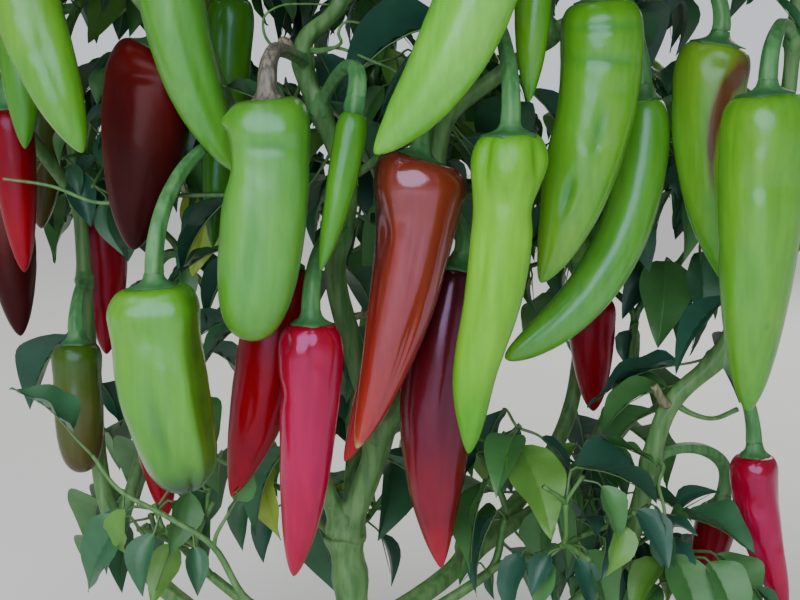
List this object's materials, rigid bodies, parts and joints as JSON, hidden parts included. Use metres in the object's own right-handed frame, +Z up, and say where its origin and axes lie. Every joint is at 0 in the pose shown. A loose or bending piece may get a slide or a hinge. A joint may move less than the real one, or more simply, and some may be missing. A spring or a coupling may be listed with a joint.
{
  "type": "chilli pepper plant",
  "caption": "Bushy chilli pepper plant: forking green stems, long hanging peppers in green, brown and red, and pointed leaves in a full crown above them.",
  "frame": {"origin": "centre of the flat cut under the main stem, at ground level", "axes": "+Z up; +X to the picture's right; -Y towards the side that the picture shows"},
  "size_m": [0.6334, 0.5181, 0.6741],
  "materials": {
    "stem": "satin",
    "pepper_green": "gloss",
    "pepper_turning": "gloss",
    "pepper_red": "gloss",
    "foliage": "satin"
  },
  "bodies": {
    "root": {"main_stem": "stem", "bough_centre": "stem", "bough_left": "stem", "bough_right": "stem", "bough_far_right": "stem", "bough_back_left": "stem", "bough_back": "stem", "bough_back_right": "stem", "branch_right": "stem", "branch_front_left": "stem", "branch_left": "stem", "branch_front": "stem", "branch_mid_left": "stem", "branch_mid_back": "stem", "branch_mid_right": "stem", "fruit_green_edge": "pepper_green", "fruit_green_left": "pepper_green", "fruit_red_edge": "pepper_red", "fruit_turning_edge": "pepper_turning", "fruit_maroon": "pepper_turning", "fruit_green_bent": "pepper_green", "fruit_green_shade": "pepper_green", "fruit_green_block": "pepper_green", "fruit_green_thin": "pepper_green", "fruit_green_top": "pepper_green", "fruit_green_small": "pepper_green", "fruit_brown": "pepper_turning", "fruit_lime": "pepper_green", "fruit_green_ripple": "pepper_green", "fruit_green_sickle": "pepper_green", "fruit_green_streak": "pepper_green", "fruit_green_right": "pepper_green", "fruit_green_front": "pepper_green", "fruit_red_back": "pepper_red", "fruit_crimson": "pepper_red", "fruit_red_slim": "pepper_red", "fruit_dark_red": "pepper_turning", "fruit_red_far": "pepper_red", "fruit_red_low": "pepper_red", "fruit_red_lowest": "pepper_red", "fruit_green_behind": "pepper_green", "fruit_red_behind": "pepper_red", "fruit_red_small": "pepper_red", "crown_top": "foliage", "crown_front": "foliage", "crown_front_left": "foliage", "crown_upper_left": "foliage", "crown_front_right": "foliage", "crown_right": "foliage", "crown_left": "foliage", "crown_back_left": "foliage", "crown_back": "foliage", "crown_back_right": "foliage", "middle_left": "foliage", "middle_back": "foliage", "middle_right": "foliage", "low_right": "foliage", "low_far_right": "foliage", "low_left": "foliage", "low_back": "foliage"}
  },
  "joints": []
}
